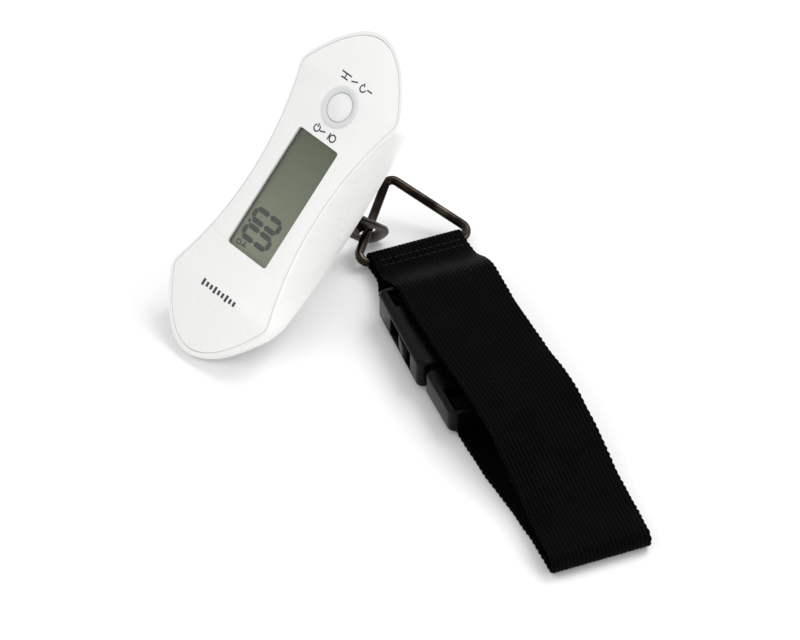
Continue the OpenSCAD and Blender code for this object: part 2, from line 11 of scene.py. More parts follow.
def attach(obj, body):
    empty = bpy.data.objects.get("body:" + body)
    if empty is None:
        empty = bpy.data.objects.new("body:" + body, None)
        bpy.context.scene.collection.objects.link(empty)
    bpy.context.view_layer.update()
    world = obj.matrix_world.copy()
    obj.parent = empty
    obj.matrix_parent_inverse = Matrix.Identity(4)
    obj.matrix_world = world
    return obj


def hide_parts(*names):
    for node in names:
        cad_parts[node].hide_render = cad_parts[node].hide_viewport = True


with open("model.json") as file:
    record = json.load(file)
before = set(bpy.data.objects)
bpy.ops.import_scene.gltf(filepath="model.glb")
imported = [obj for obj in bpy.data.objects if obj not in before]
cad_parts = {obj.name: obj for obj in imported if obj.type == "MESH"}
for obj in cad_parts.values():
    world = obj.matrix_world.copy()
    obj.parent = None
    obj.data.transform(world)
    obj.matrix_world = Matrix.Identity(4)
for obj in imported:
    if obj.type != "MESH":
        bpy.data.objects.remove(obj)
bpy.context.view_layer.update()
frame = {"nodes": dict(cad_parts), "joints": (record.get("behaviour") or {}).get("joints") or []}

# ---------------------------------------------------------------------------------------------------
# Where things are, in millimetres. The body's axes come from the shank that the hook turns on, which
# leaves the middle of the back square to the face, and the strap's from the ring's bar. Each set of
# axes turns its millimetres into metres in the frame.
MM = 0.001
joints = {joint["name"]: joint for joint in frame["joints"]}
shank_below_face = 30
swivel = joints["hook_swivel"]
face_up = Vector(swivel["axis"])
along = Vector((face_up.z, 0, -face_up.x))
face_middle = Vector(swivel["pos_m"]) + face_up * shank_below_face * MM


def axes(x, y, z, origin):
    turn = Matrix((x, y, z)).transposed().to_4x4()
    return Matrix.Translation(origin) @ turn @ Matrix.Scale(MM, 4)


body_axes = axes(along, Vector((0, 1, 0)), face_up, face_middle)
bar = joints["strap_swing"]
bar_middle = Vector(bar["pos_m"])
across_strap = Vector(bar["axis"])
strap_axes = axes(across_strap, Vector((0, 0, 1)).cross(across_strap), Vector((0, 0, 1)),
                  Vector((bar_middle.x, bar_middle.y, 0)))

# ---------------------------------------------------------------------------------------------------
# The camera looks down at the face from the strap's side through a long lens, so that the sides of
# the strap run almost parallel, and stands well back.
camera_turn = math.radians(-41.8)
camera_rise = math.radians(42.3)
camera_back = Vector((math.sin(camera_turn) * math.cos(camera_rise),
                      -math.cos(camera_turn) * math.cos(camera_rise), math.sin(camera_rise)))
camera_right = Vector((math.cos(camera_turn), math.sin(camera_turn), 0))
camera_up = camera_back.cross(camera_right)
camera_data = bpy.data.cameras.new("camera")
camera_data.sensor_width = 36
camera_data.lens = 223
camera_data.clip_end = 20
camera = bpy.data.objects.new("camera", camera_data)
bpy.context.collection.objects.link(camera)
seen_middle = face_middle + camera_right * 0.042 - camera_up * 0.0457
camera.matrix_world = (Matrix.Translation(seen_middle + camera_back * 1.8)
                       @ Matrix((camera_right, camera_up, camera_back)).transposed().to_4x4())
bpy.context.scene.camera = camera
bpy.context.scene.view_settings.view_transform = "Standard"


# ---------------------------------------------------------------------------------------------------
# A white studio: an even surround, a large soft key from the camera's upper right, a weaker fill on the
# left that opens the shadows, and a low lamp on the right for the body's deep side.
world = bpy.data.worlds.new("surround")
world.use_nodes = True
world.node_tree.nodes["Background"].inputs["Color"].default_value = (1, 1, 1, 1)
world.node_tree.nodes["Background"].inputs["Strength"].default_value = 0.76
bpy.context.scene.world = world


def area_light(name, size, watts, away):
    """A square softbox that stands away from what the camera sees and faces it."""
    data = bpy.data.lights.new(name, "AREA")
    data.size = size
    data.energy = watts
    lamp = bpy.data.objects.new(name, data)
    bpy.context.collection.objects.link(lamp)
    lamp.location = seen_middle + away
    lamp.rotation_mode = "QUATERNION"
    lamp.rotation_quaternion = away.to_track_quat("Z", "Y")


toward = Vector((camera_right.x, camera_right.y, 0))
depthward = Vector((-camera_back.x, -camera_back.y, 0)).normalized()
area_light("key", 0.7, 6.6, toward * 0.55 + depthward * 0.45 + Vector((0, 0, 0.95)))
area_light("fill", 0.9, 2.0, toward * -0.8 - depthward * 0.5 + Vector((0, 0, 0.7)))
area_light("side", 0.8, 5.5, toward * 1.05 - depthward * 0.5 + Vector((0, 0, 0.3)))

# ---------------------------------------------------------------------------------------------------
# The housing: one deep white ABS moulding like a shallow boat, waisted for the fingers, with the rim
# round the face, the battery well, the screw holes and the hole for the hook's bush. Its plan is an arc
# along the waist and a parabola round each end, and its sections are squarest at the waist.
half_length, half_bulb, half_waist, corner_x = 68.2, 27.2, 18.6, 44.5
deep, tip_deep, wall = 30.2, 4, 2.2
rim_end, panel_corner, panel_waist, panel_cx = 66.2, 25.6, 17.7, 44.0
pocket = 2.0
seam = 0.14
rim_round = 0.5


def half_width(x, end, corner, wide, thin):
    if abs(x) >= corner:
        return wide * math.sqrt(max(0, (end - abs(x)) / (end - corner)))
    radius = (corner ** 2 + (wide - thin) ** 2) / (2 * (wide - thin))
    return thin + radius - math.sqrt(radius ** 2 - x * x)


def keel(x):
    return tip_deep + (deep - tip_deep) * (1 - (x / half_length) ** 2)


def squareness(x):
    if abs(x) < corner_x:
        return 2.4 + 2.6 * (1 - (x / corner_x) ** 2)
    return 2.4 + 2.6 * ((abs(x) - corner_x) / (half_length - corner_x)) ** 3


def plan(end, corner, wide, thin, eased=0.9, reach=4, n_end=30, n_waist=84):
    """(x, half width) from the button end to the other, close together round the tips, corners eased."""
    tip = [(end - (end - corner) * (i / n_end) ** 2, wide * i / n_end) for i in range(n_end)]
    waist = [corner - 2 * corner * i / n_waist for i in range(n_waist + 1)]
    middle = [(x, half_width(x, end, corner, wide, thin)) for x in waist]
    whole = tip + middle + [(-x, w) for x, w in reversed(tip)]
    return [(x, w - eased * max(0, 1 - abs(abs(x) - corner) / reach) ** 2) for x, w in whole]


housing_plan = plan(half_length, corner_x, half_bulb, half_waist)
panel_plan = plan(rim_end, panel_cx, panel_corner, panel_waist, 0.4, 2.5)


def dress(piece, material):
    piece.data.materials.clear()
    piece.data.materials.append(material)


def link_mesh(name, mesh_data, material, smooth=True):
    made = bpy.data.objects.new(name, mesh_data)
    bpy.context.collection.objects.link(made)
    if material:
        dress(made, material)
    for polygon in mesh_data.polygons:
        polygon.use_smooth = smooth
    return made


def mesh_from(name, points, faces, place, material=None, smooth=True):
    mesh_data = bpy.data.meshes.new(name)
    mesh_data.from_pydata([place @ Vector(p) for p in points], [], faces)
    bm = bmesh.new()
    bm.from_mesh(mesh_data)
    bmesh.ops.remove_doubles(bm, verts=bm.verts, dist=0.000004)
    bmesh.ops.dissolve_degenerate(bm, edges=bm.edges, dist=0.000002)
    bmesh.ops.recalc_face_normals(bm, faces=bm.faces)
    bm.to_mesh(mesh_data)
    bm.free()
    return link_mesh(name, mesh_data, material, smooth)


def skin(columns):
    """A closed shape from columns of points down one side, mirrored and joined across the middle."""
    points, faces = [], []
    rows = len(columns[0])
    for side in (1, -1):
        start = len(points)
        points += [(x, y * side, z) for column in columns for x, y, z in column]
        for i in range(len(columns) - 1):
            for j in range(rows - 1):
                a = start + i * rows + j
                quad = (a, a + 1, a + rows + 1, a + rows)
                faces.append(quad if side > 0 else quad[::-1])
    other = len(columns) * rows
    for i in range(len(columns) - 1):
        faces.append((i * rows, (i + 1) * rows, other + (i + 1) * rows, other + i * rows))
    return points, faces


def side_points(x, w, depth, top, n):
    square = squareness(x)
    first = math.asin(min(1, (max(-top, 0) / depth) ** (square / 2)))
    angles = [first + (math.pi / 2 - first) * i / n for i in range(n + 1)]
    return [(x, w * max(0, math.cos(a)) ** (2 / square) if i < n else 0.0,
             -depth * math.sin(a) ** (2 / square)) for i, a in enumerate(angles)]


def hull(inset, top, name, n=30):
    """A plain closed solid of the housing's outside, drawn in by inset."""
    outline = plan(half_length - inset, corner_x - 0.3 * inset, half_bulb - inset, half_waist - inset)
    columns = []
    for x, w in outline:
        column = side_points(x, w, keel(x) - inset, 0, n)
        columns.append([(x, w, top)] + column)
    return mesh_from(name, *skin(columns), body_axes)


def apply_modifiers(piece):
    bpy.context.view_layer.update()
    made = piece.evaluated_get(bpy.context.evaluated_depsgraph_get())
    mesh_data = bpy.data.meshes.new_from_object(made)
    piece.modifiers.clear()
    piece.data = mesh_data


def combine(piece, tool, operation="DIFFERENCE"):
    """Cuts tool from piece, joins it or keeps the part in both, and throws the tool away."""
    cut = piece.modifiers.new(operation, "BOOLEAN")
    cut.operation = operation
    cut.solver = "EXACT"
    cut.object = tool
    apply_modifiers(piece)
    bpy.data.objects.remove(tool)
    return piece


def block(low, high, place=body_axes, name="block"):
    points = [(x, y, z) for x in (low[0], high[0]) for y in (low[1], high[1]) for z in (low[2], high[2])]
    faces = [(0, 1, 3, 2), (4, 6, 7, 5), (0, 4, 5, 1), (2, 3, 7, 6), (0, 2, 6, 4), (1, 5, 7, 3)]
    return mesh_from(name, points, faces, place, smooth=False)


def turned(name, profile, centre, material=None, place=body_axes, n=96):
    """A piece turned on a lathe: profile is (radius, height), centre is where its axis stands."""
    points, faces = [], []
    rows = len(profile)
    for i in range(n):
        a = 2 * math.pi * i / n
        points += [(centre[0] + r * math.cos(a), centre[1] + r * math.sin(a), centre[2] + z)
                   for r, z in profile]
    for i in range(n):
        for j in range(rows - 1):
            a, b = i * rows + j, (i + 1) % n * rows + j
            faces.append((a, a + 1, b + 1, b))
    return mesh_from(name, points, faces, place, material)


def round_bar(x, y, low, high, radius):
    return turned("bar", [(0, low), (radius, low), (radius, high), (0, high)], (x, y, 0), n=64)


def shade_by_angle(piece, degrees=32):
    bm = bmesh.new()
    bm.from_mesh(piece.data)
    for edge in bm.edges:
        edge.smooth = len(edge.link_faces) != 2 or edge.calc_face_angle(0) < math.radians(degrees)
    for polygon in bm.faces:
        polygon.smooth = True
    bm.to_mesh(piece.data)
    bm.free()


def rim_column(outer, inner):
    """From the pocket's floor up, over the rounded rim, to where the side begins."""
    (x, w), (px, pw) = outer, inner
    out = Vector((x - px, w - pw, 0))
    width = out.length
    out.normalize()
    edge = Vector((px, pw, 0)) + out * seam
    top = Vector((x, w, 0))
    column = [edge + Vector((0, 0, -pocket)), edge + Vector((0, 0, -0.12)), edge + out * 0.08]
    for i in range(6):
        a = math.pi / 2 * i / 5
        bend = min(rim_round, width - seam - 0.1)
        column.append(top - out * bend * (1 - math.sin(a)) - Vector((0, 0, bend * (1 - math.cos(a)))))
    return [(p.x, max(p.y, 0.0), p.z) for p in column]


class Number:
    """A varying number. Arithmetic on it adds Math nodes."""

    def __init__(self, finish, socket):
        self.finish = finish
        self.socket = socket

    def math(self, operation, *values):
        ins = {i: v for i, v in enumerate(values)}
        return self.finish.node("Math", {"operation": operation}, ins)

    def __add__(self, other):
        return self.math("ADD", self, other)

    def __sub__(self, other):
        return self.math("SUBTRACT", self, other)

    def __rsub__(self, other):
        return self.math("SUBTRACT", other, self)

    def __mul__(self, other):
        return self.math("MULTIPLY", self, other)

    def __truediv__(self, other):
        return self.math("DIVIDE", self, other)

    __radd__ = __add__
    __rmul__ = __mul__

    def sine(self):
        return self.math("SINE", self)

    def size(self):
        return self.math("ABSOLUTE", self)

    def band(self, low, high):
        return self.finish.node("MapRange", {"interpolation_type": "SMOOTHSTEP"},
                                {"Value": self, "From Min": low, "From Max": high})


class Finish:
    """A material: its Principled shader and the nodes that feed it."""

    def __init__(self, name, colour, rough, **sockets):
        self.material = bpy.data.materials.new(name)
        self.material.use_nodes = True
        self.nodes = self.material.node_tree.nodes
        self.shader = self.nodes["Principled BSDF"]
        self.set(Base_Color=(*colour, 1), Roughness=rough, **sockets)

    def set(self, **sockets):
        for name, value in sockets.items():
            self.feed(self.shader.inputs[name.replace("_", " ")], value)

    def feed(self, socket, value):
        if isinstance(value, Number):
            self.material.node_tree.links.new(value.socket, socket)
        else:
            socket.default_value = value

    def node(self, kind, settings=None, ins=None, out=0):
        made = self.nodes.new("ShaderNode" + kind)
        for name, value in (settings or {}).items():
            setattr(made, name, value)
        for name, value in (ins or {}).items():
            self.feed(made.inputs[name], value)
        return Number(self, made.outputs[out])

    def place(self):
        return self.node("TexCoord", out="Object")

    def along(self, direction, origin=(0, 0, 0)):
        """Distance from origin along direction, in millimetres."""
        moved = self.node("VectorMath", {"operation": "SUBTRACT"}, {0: self.place(), 1: origin})
        reach = tuple(Vector(direction) / MM)
        return self.node("VectorMath", {"operation": "DOT_PRODUCT"}, {0: moved, 1: reach}, "Value")

    def noise(self, per_metre, detail=3):
        return self.node("TexNoise", None, {"Vector": self.place(), "Scale": per_metre, "Detail": detail})

    def mix(self, share, first, second):
        return self.node("Mix", {"data_type": "RGBA"}, {0: share, 6: first, 7: second}, 2)

    def bump(self, height, depth, strength=1.0):
        normal = self.node("Bump", None, {"Height": height, "Distance": depth, "Strength": strength})
        self.set(Normal=normal)


def moulded(name, colour, rough, grain=1400, depth=0.00002, shine=0.5):
    """Injection-moulded plastic: faint flow mottle in the colour, fine grain and dulled patches."""
    finish = Finish(name, colour, rough, IOR=1.49, Specular_IOR_Level=shine)
    mottle = finish.noise(160, 4)
    darker = tuple(c * 0.988 for c in colour)
    finish.set(Base_Color=finish.mix(mottle.band(0.35, 0.7), (*colour, 1), (*darker, 1)))
    finish.set(Roughness=finish.noise(90, 5).band(0.3, 0.8) * 0.08 + rough)
    finish.bump(finish.noise(grain, 2), depth, 0.6)
    return finish.material


white_plastic = moulded("white_abs", (0.86, 0.86, 0.85), 0.27)
columns = [rim_column(outer, inner) + side_points(outer[0], outer[1], keel(outer[0]), -rim_round, 34)[1:]
           for outer, inner in zip(housing_plan, panel_plan)]
housing = mesh_from("housing_moulding", *skin(columns), body_axes, white_plastic)
case_posts = [(x, y) for x in (-34, 34) for y in (-14.5, 14.5)]
post_split, post_r, screw_hole_r, screw_head_r, head_depth = -13.8, 3.6, 1.3, 2.4, 3.6
bush_hole_r, boss_r, boss_high = 5, 7.5, 5
well_top = -5.6
cell_x, well_r, well_wall = -47.5, 10.4, 1.2
door_start, door_end, door_half, door_thick, door_gap, door_top = -59, -36, 11.5, 1.5, 0.3, 2
hollow = hull(wall, -1, "hollow", 20)
for x, y in case_posts:
    combine(hollow, round_bar(x, y, -deep, post_split, post_r))
combine(hollow, round_bar(cell_x, 0, -deep, well_top, well_r + well_wall))
combine(hollow, round_bar(0, 0, -deep, boss_high - deep, boss_r))
combine(housing, hollow)
combine(housing, round_bar(cell_x, 0, -deep - 1, 0, well_r))
recess = block((door_start - door_gap, -door_half - door_gap, -deep),
               (door_end + door_gap, door_half + door_gap, -door_top))
combine(housing, combine(recess, hull(door_thick + door_gap, 1, "inner")))
for x, y in case_posts:
    combine(housing, round_bar(x, y, -deep, 0, screw_hole_r))
    combine(housing, round_bar(x, y, -deep - 1, post_split - head_depth, screw_head_r))
combine(housing, round_bar(0, 0, -deep - 1, 0, bush_hole_r))
shade_by_angle(housing, 35)
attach(housing, "scale_body")
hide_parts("housing")

# ---------------------------------------------------------------------------------------------------
# The battery door: a piece of the back's own curve that tilts on a small barrel at its outer edge,
# with three finger ridges at the latch end.
door = block((door_start + 0.5, -door_half, -deep), (door_end, door_half, -door_top),
             name="battery_door_moulding")
combine(door, hull(0.05, 1, "outer"), "INTERSECT")
combine(door, hull(door_thick, 1, "inner"))
barrel_z = 0.75 - keel(door_start)
barrel_middle = body_axes @ Matrix.Translation((door_start, 0, barrel_z))
barrel = turned("barrel", [(0, -4), (0.7, -4), (0.9, -3.8), (0.9, 3.8), (0.7, 4), (0, 4)], (0, 0, 0),
                place=barrel_middle @ Matrix.Rotation(math.pi / 2, 4, "X"), n=32)
combine(door, barrel, "UNION")
for i in range(3):
    x = door_end - 3 - 2.2 * i
    groove = block((x, -5, -keel(x) - 1), (x + 0.9, 5, -keel(x) + 0.35))
    combine(door, groove)
dress(door, moulded("door_abs", (0.85, 0.85, 0.84), 0.3))
shade_by_angle(door)
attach(door, "door")
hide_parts("battery_door")

# ---------------------------------------------------------------------------------------------------
# The face panel: a flat white ABS cover let into the rim with a fine dark seam round it. It has the
# display opening, the button's hole, and posts behind for the case and board screws.
panel_round = 0.22
columns = []
for x, w in panel_plan:
    shrink = [(0, -pocket), (0, -panel_round), (0.3 * panel_round, -0.3 * panel_round), (panel_round, 0)]
    columns.append([(x - math.copysign(s, x) * min(1, abs(x) / panel_cx) ** 8, max(0, w - s), z)
                    for s, z in reversed(shrink)])
points, faces = skin(columns)
rows, other = len(columns[0]), len(columns) * len(columns[0])
for i in range(len(columns) - 1):
    a, b = i * rows + rows - 1, (i + 1) * rows + rows - 1
    faces.append((a, other + a, other + b, b))
panel_plastic = moulded("panel_abs", (0.885, 0.885, 0.875), 0.24)
panel = mesh_from("face_panel_moulding", points, faces, body_axes, panel_plastic)
window_x, window_l, window_w = -1.4, 50, 21.3
button_x, button_r, ring_r = 37.5, 5.5, 8


def sides_and_ends(n, start=0):
    """The faces of a prism: n points round its foot, then n round its top."""
    ends = [tuple(range(start, start + n))[::-1], tuple(range(start + n, start + 2 * n))]
    return ends + [(start + i, start + (i + 1) % n, start + n + (i + 1) % n, start + n + i) for i in range(n)]


def slab(name, length, width, low, high, bend, centre=(0, 0), place=body_axes, steps=8):
    """A flat plate with rounded corners."""
    outline = []
    for quarter, (sx, sy) in enumerate(((1, 1), (-1, 1), (-1, -1), (1, -1))):
        for i in range(steps + 1):
            a = math.pi / 2 * (quarter + i / steps)
            outline.append((centre[0] + sx * (length / 2 - bend) + bend * math.cos(a),
                            centre[1] + sy * (width / 2 - bend) + bend * math.sin(a)))
    points = [(x, y, z) for z in (low, high) for x, y in outline]
    return mesh_from(name, points, sides_and_ends(len(outline)), place, smooth=False)


combine(panel, slab("opening", window_l, window_w, -pocket - 1, 1, 1.2, (window_x, 0)))
combine(panel, slab("rebate", window_l + 2.4, window_w + 2.4, -pocket - 1, -1, 0.8, (window_x, 0)))
combine(panel, round_bar(button_x, 0, -pocket - 1, 1, ring_r))
board_posts = [(-33, -8), (-33, 8), (48, -9), (48, 9)]
for posts, foot, radius in ((case_posts, post_split, 2.8), (board_posts, -7, 2)):
    for x, y in posts:
        combine(panel, round_bar(x, y, foot, 0.02 - pocket, radius), "UNION")
shade_by_angle(panel)
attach(panel, "scale_body")
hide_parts("face_panel")

# ---------------------------------------------------------------------------------------------------
# The print on the panel is pad-printed dark grey ink: plain signs for what each press does, above and
# below the button, and a plain row of bars at the foot.
ink = moulded("pad_ink", (0.035, 0.036, 0.04), 0.5, 2600, 0.000004)


def flat_shape(name, outlines, material, lift=0.025):
    """Thin raised shapes on the face, each from its outline."""
    thick = 0.02
    points, faces = [], []
    for outline in outlines:
        faces += sides_and_ends(len(outline), len(points))
        points += [(x, y, z) for z in (lift - thick, lift) for x, y in outline]
    return mesh_from(name, points, faces, body_axes, material, False)


def oblong(x, y, length, width, turn=0.0):
    c, s = math.cos(turn), math.sin(turn)
    corners = ((-length, -width), (length, -width), (length, width), (-length, width))
    return [(x + (a * c - b * s) / 2, y + (a * s + b * c) / 2) for a, b in corners]


def arc_band(x, y, radius, width, start, end, n=20):
    """Part of a ring drawn as quads."""
    quads = []
    for i in range(n):
        a, b = (start + (end - start) * (i + k) / n for k in (0, 1))
        low, high = radius - width / 2, radius + width / 2
        quads.append([(x + r * math.cos(t), y + r * math.sin(t)) for r, t in
                      ((low, a), (high, a), (high, b), (low, b))])
    return quads


power_x, tare_x, foot_x = 26.7, 48.2, -43.5
signs = arc_band(power_x, 3.6, 1.35, 0.56, 0.55, 2 * math.pi - 0.55)
signs += [oblong(power_x + 1.1, 3.6, 1.5, 0.56), oblong(power_x, 0.6, 0.56, 2.6, 0.3),
          oblong(power_x, -2.9, 2.7, 0.56)]
signs += arc_band(power_x, -4.8, 1.35, 0.56, 0, 2 * math.pi, 28)
signs += [oblong(tare_x + 0.9, 5.2, 0.56, 5.2), oblong(tare_x - 1.0, 5.2, 0.56, 3.4),
          oblong(tare_x, 5.2, 2.0, 0.56), oblong(tare_x, 0.4, 0.56, 3.0, 0.35)]
signs += arc_band(tare_x - 0.2, -4.4, 1.35, 0.56, 0.5, math.pi * 1.5, 18)
signs += [oblong(tare_x + 1.1, -4.2, 1.4, 0.56, 0.6), oblong(tare_x + 0.2, -7.6, 0.56, 2.6)]
foot = [oblong(foot_x, 9.5 - 2.1 * i, 1.9 if i % 3 else 2.7, 1.15) for i in range(9)]
for name, shapes in (("face_signs", signs), ("foot_bars", foot)):
    print_piece = flat_shape(name, shapes, ink)
    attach(print_piece, "scale_body")

# ---------------------------------------------------------------------------------------------------
# The display: a clear acrylic lens let into the back of the panel, and behind it a reflective liquid
# crystal of two sheets of glass. Its segments show two noughts with a point between them, lying along
# the body, and a small weight sign. The glass is olive, paler towards the foot.
lens_finish = Finish("acrylic_lens", (0.93, 0.95, 0.94), 0.06, Alpha=0.05, IOR=1.49, Specular_IOR_Level=0.25)
lens_finish.set(Roughness=lens_finish.noise(150, 3).band(0.45, 0.8) * 0.05 + 0.04)
lens = slab("display_lens", window_l + 2.2, window_w + 2.2, -2, -1, 0.7, (window_x, 0))
dress(lens, lens_finish.material)
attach(lens, "scale_body")
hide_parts("display_window")

glass_depth = 2.1
glass = Finish("liquid_crystal", (0.1, 0.12, 0.06), 0.22, IOR=1.5, Specular_IOR_Level=0.2)
run = glass.along(along, face_middle)
cross = glass.along((0, 1, 0), face_middle)
# painted light: the glass is coloured paler towards the foot, as light falls across it, with a random mottle
# on top
light_gradient_and_mottle = run * -0.02 + glass.noise(60, 4) * 0.16 + 0.4
olive = glass.mix(light_gradient_and_mottle.band(0.0, 1.0), (0.05, 0.073, 0.02, 1), (0.165, 0.185, 0.115, 1))
# painted shade along the window's long edges, where the recess wall shades the glass, and the fine grid of
# the cell's clear electrodes
window_edge_shade = (cross.size() - 9.9).band(0, 0.5)
grid = ((run * 18).sine() * (cross * 18).sine()).band(0.2, 1.0) * 0.025
glass.set(Base_Color=glass.mix(window_edge_shade * 0.55 + grid, olive, (0.05, 0.06, 0.04, 1)))
glass.set(Roughness=glass.noise(200, 2) * 0.1 + 0.35)
glass.bump(glass.noise(900, 2), 0.000002, 0.3)
lcd = slab("liquid_crystal_glass", 54, 25, -4.7, -glass_depth, 0.4, (window_x, 0))
dress(lcd, glass.material)
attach(lcd, "scale_body")
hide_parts("display_glass")


def segment(x, y, length, thick, upright):
    """One bar of a digit, pointed at both ends."""
    half, tip = length / 2, thick / 2
    flat = half - tip
    shape = [(-half, 0), (-flat, tip), (flat, tip), (half, 0), (flat, -tip), (-flat, -tip)]
    return [(x + (a if upright else b), y + (b if upright else a)) for a, b in shape]


def nought(x, y, wide, tall, thick):
    """A digit 0 whose height runs across the body."""
    gap, half = 0.25, tall / 2
    bars = [segment(x, y + side * half, wide - gap, thick, True) for side in (-1, 1)]
    for side in (-1, 1):
        for end in (-1, 1):
            bars.append(segment(x + side * wide / 2, y + end * half / 2, half - gap, thick, False))
    return bars


digit_tall, digit_wide, stroke, digit_side = 13, 4.4, 2, 1.6
digits = []
for x in (-12.1, -19.1):
    digits += nought(x, digit_side, digit_wide, digit_tall, stroke)
digits += [oblong(-15.6, 8.4, 1.2, 1.2), oblong(-24.4, 4.6, 0.6, 2.4), oblong(-23.5, 4.6, 1.5, 0.6)]
digits += arc_band(-24.2, 7.4, 0.9, 0.5, 0, 2 * math.pi, 16)
segment_ink = moulded("segment_ink", (0.005, 0.006, 0.006), 0.5, shine=0.05)
segments = flat_shape("display_segments", digits, segment_ink, 0.04 - glass_depth)
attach(segments, "scale_body")

# ---------------------------------------------------------------------------------------------------
# The button: a shallow dome of pale grey rubbery plastic, in a polished ring set in the panel. A
# flange under the ring keeps it in, and its foot rests on the switch.
ring_rise = 0.35
bore, rim = button_r + 0.1, ring_r - 0.03
lip = [(bore, -pocket), (bore, -0.25), (bore + 0.2, -0.02), (bore + 0.65, ring_rise - 0.1)]
lip += [(button_r + 1.2 + 0.14 * i, ring_rise - 0.06 + 0.1 * math.sin(math.pi * i / 6)) for i in range(7)]
lip += [(ring_r - 0.25, ring_rise - 0.12), (rim, 0.04), (rim, -pocket), (bore, -pocket)]
button_ring = turned("button_ring_turned", lip, (button_x, 0, 0), moulded("ring_abs", (0.7, 0.71, 0.71), 0.2))
shade_by_angle(button_ring, 40)
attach(button_ring, "scale_body")
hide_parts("button_ring")

dome_r, dome_top = 16, 0.9
cap = [(0, dome_top)]
cap += [(r, dome_top - dome_r + math.sqrt(dome_r ** 2 - r * r)) for r in (0.5 * i for i in range(1, 11))]
shoulder = cap[-1][1]
wall_r, flange_r, flange_top, flange_foot = button_r - 0.02, button_r + 1.2, -pocket - 0.1, -pocket - 0.9
cap += [(5.25, shoulder - 0.1), (5.4, shoulder - 0.3), (wall_r, shoulder - 0.6), (wall_r, flange_top)]
cap += [(flange_r, flange_top), (flange_r, flange_foot), (0, flange_foot)]
button_plastic = moulded("button_grey", (0.83, 0.83, 0.83), 0.3, 2200, 0.000015)
button = turned("button_cap", cap, (button_x, 0, 0), button_plastic)
shade_by_angle(button, 40)
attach(button, "button")
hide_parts("power_button")


# ---------------------------------------------------------------------------------------------------
# Inside, and the small hardware: the board in its green mask, its parts, the cell, the bending beam
# with its gauges, the screws. Each keeps its true edges, with a fine break on them.
def softened(node, material, body, width=0.00012, steps=2):
    """The CAD node's own shape with its flat faces joined and its edges broken."""
    source = frame["nodes"][node]
    mesh_data = source.data.copy()
    mesh_data.materials.clear()
    bm = bmesh.new()
    bm.from_mesh(mesh_data)
    bmesh.ops.remove_doubles(bm, verts=bm.verts, dist=0.000002)
    bmesh.ops.dissolve_limit(bm, angle_limit=math.radians(1.5), verts=bm.verts, edges=bm.edges)
    for edge in bm.edges:
        edge.smooth = True
    bm.to_mesh(mesh_data)
    bm.free()
    piece = link_mesh(node + "_soft", mesh_data, material)
    edge_break = piece.modifiers.new("break", "BEVEL")
    edge_break.width = width
    edge_break.segments = steps
    edge_break.limit_method = "ANGLE"
    edge_break.angle_limit = math.radians(32)
    edge_break.use_clamp_overlap = True
    edge_break.harden_normals = False
    apply_modifiers(piece)
    shade_by_angle(piece, 44)
    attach(piece, body)
    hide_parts(node)
    return piece


def metal(name, colour, rough, grain_along, depth=0.00002):
    """Worked metal: fine lines drawn out along one direction, and a little tarnish."""
    finish = Finish(name, colour, rough, Metallic=1.0)
    line = finish.along(grain_along)
    drawn = finish.node("VectorMath", {"operation": "SCALE"}, {0: grain_along, "Scale": line * MM * -0.92})
    squeezed = finish.node("VectorMath", {"operation": "ADD"}, {0: finish.place(), 1: drawn})
    lines = finish.node("TexNoise", None, {"Vector": squeezed, "Scale": 4800, "Detail": 2})
    tarnish = finish.noise(240, 4)
    dark = tuple(c * 0.72 for c in colour)
    finish.set(Base_Color=finish.mix(tarnish.band(0.35, 0.75), (*colour, 1), (*dark, 1)))
    finish.set(Roughness=lines * 0.14 + tarnish * 0.1 + (rough - 0.1))
    finish.bump(lines, depth, 0.4)
    return finish.material


board = Finish("circuit_board", (0.02, 0.11, 0.05), 0.34, IOR=1.5)
strip = board.along(along, face_middle)
aside = board.along((0, 1, 0), face_middle)
wander = board.noise(120, 2) * 3
tracks = ((strip + wander) * 2.6).sine().band(0.3, 0.6) * (aside * 0.9).sine().band(-0.2, 0.2)
board.set(Base_Color=board.mix(tracks, (0.015, 0.09, 0.04, 1), (0.04, 0.19, 0.08, 1)))
board.set(Roughness=board.noise(300, 3) * 0.2 + 0.25)
board.bump(tracks, 0.00004, 0.6)
softened("circuit_board", board.material, "scale_body")
dark_parts = moulded("parts_epoxy", (0.02, 0.02, 0.022), 0.42)
bright_steel = metal("plated_steel", (0.72, 0.72, 0.71), 0.28, along, 0.00001)
beam_alloy = metal("beam_aluminium", (0.78, 0.79, 0.8), 0.36, (0, 1, 0), 0.00003)
copper = metal("gauge_foil", (0.72, 0.43, 0.25), 0.4, along, 0.00001)
softened("board_parts", dark_parts, "scale_body")
softened("display_frame", moulded("frame_plastic", (0.22, 0.22, 0.22), 0.5), "scale_body")
softened("contact_strips", moulded("zebra_rubber", (0.05, 0.05, 0.06), 0.7), "scale_body")
softened("switch_body", dark_parts, "scale_body")
softened("switch_plunger", dark_parts, "plunger")
softened("coin_cell", metal("cell_steel", (0.75, 0.75, 0.73), 0.22, (0, 1, 0), 0.000008), "scale_body")
softened("battery_contact_top", bright_steel, "scale_body", 0.00004)
softened("battery_contact_side", bright_steel, "scale_body", 0.00004)
softened("load_cell", beam_alloy, "scale_body", 0.0003)
softened("strain_gauges", copper, "scale_body", 0.00003)
softened("gauge_wires", moulded("lead_insulation", (0.35, 0.03, 0.03), 0.45), "scale_body", 0.00005)
for screws in ("load_cell_screws", "case_screws", "board_screws"):
    softened(screws, bright_steel, "scale_body", 0.0001)

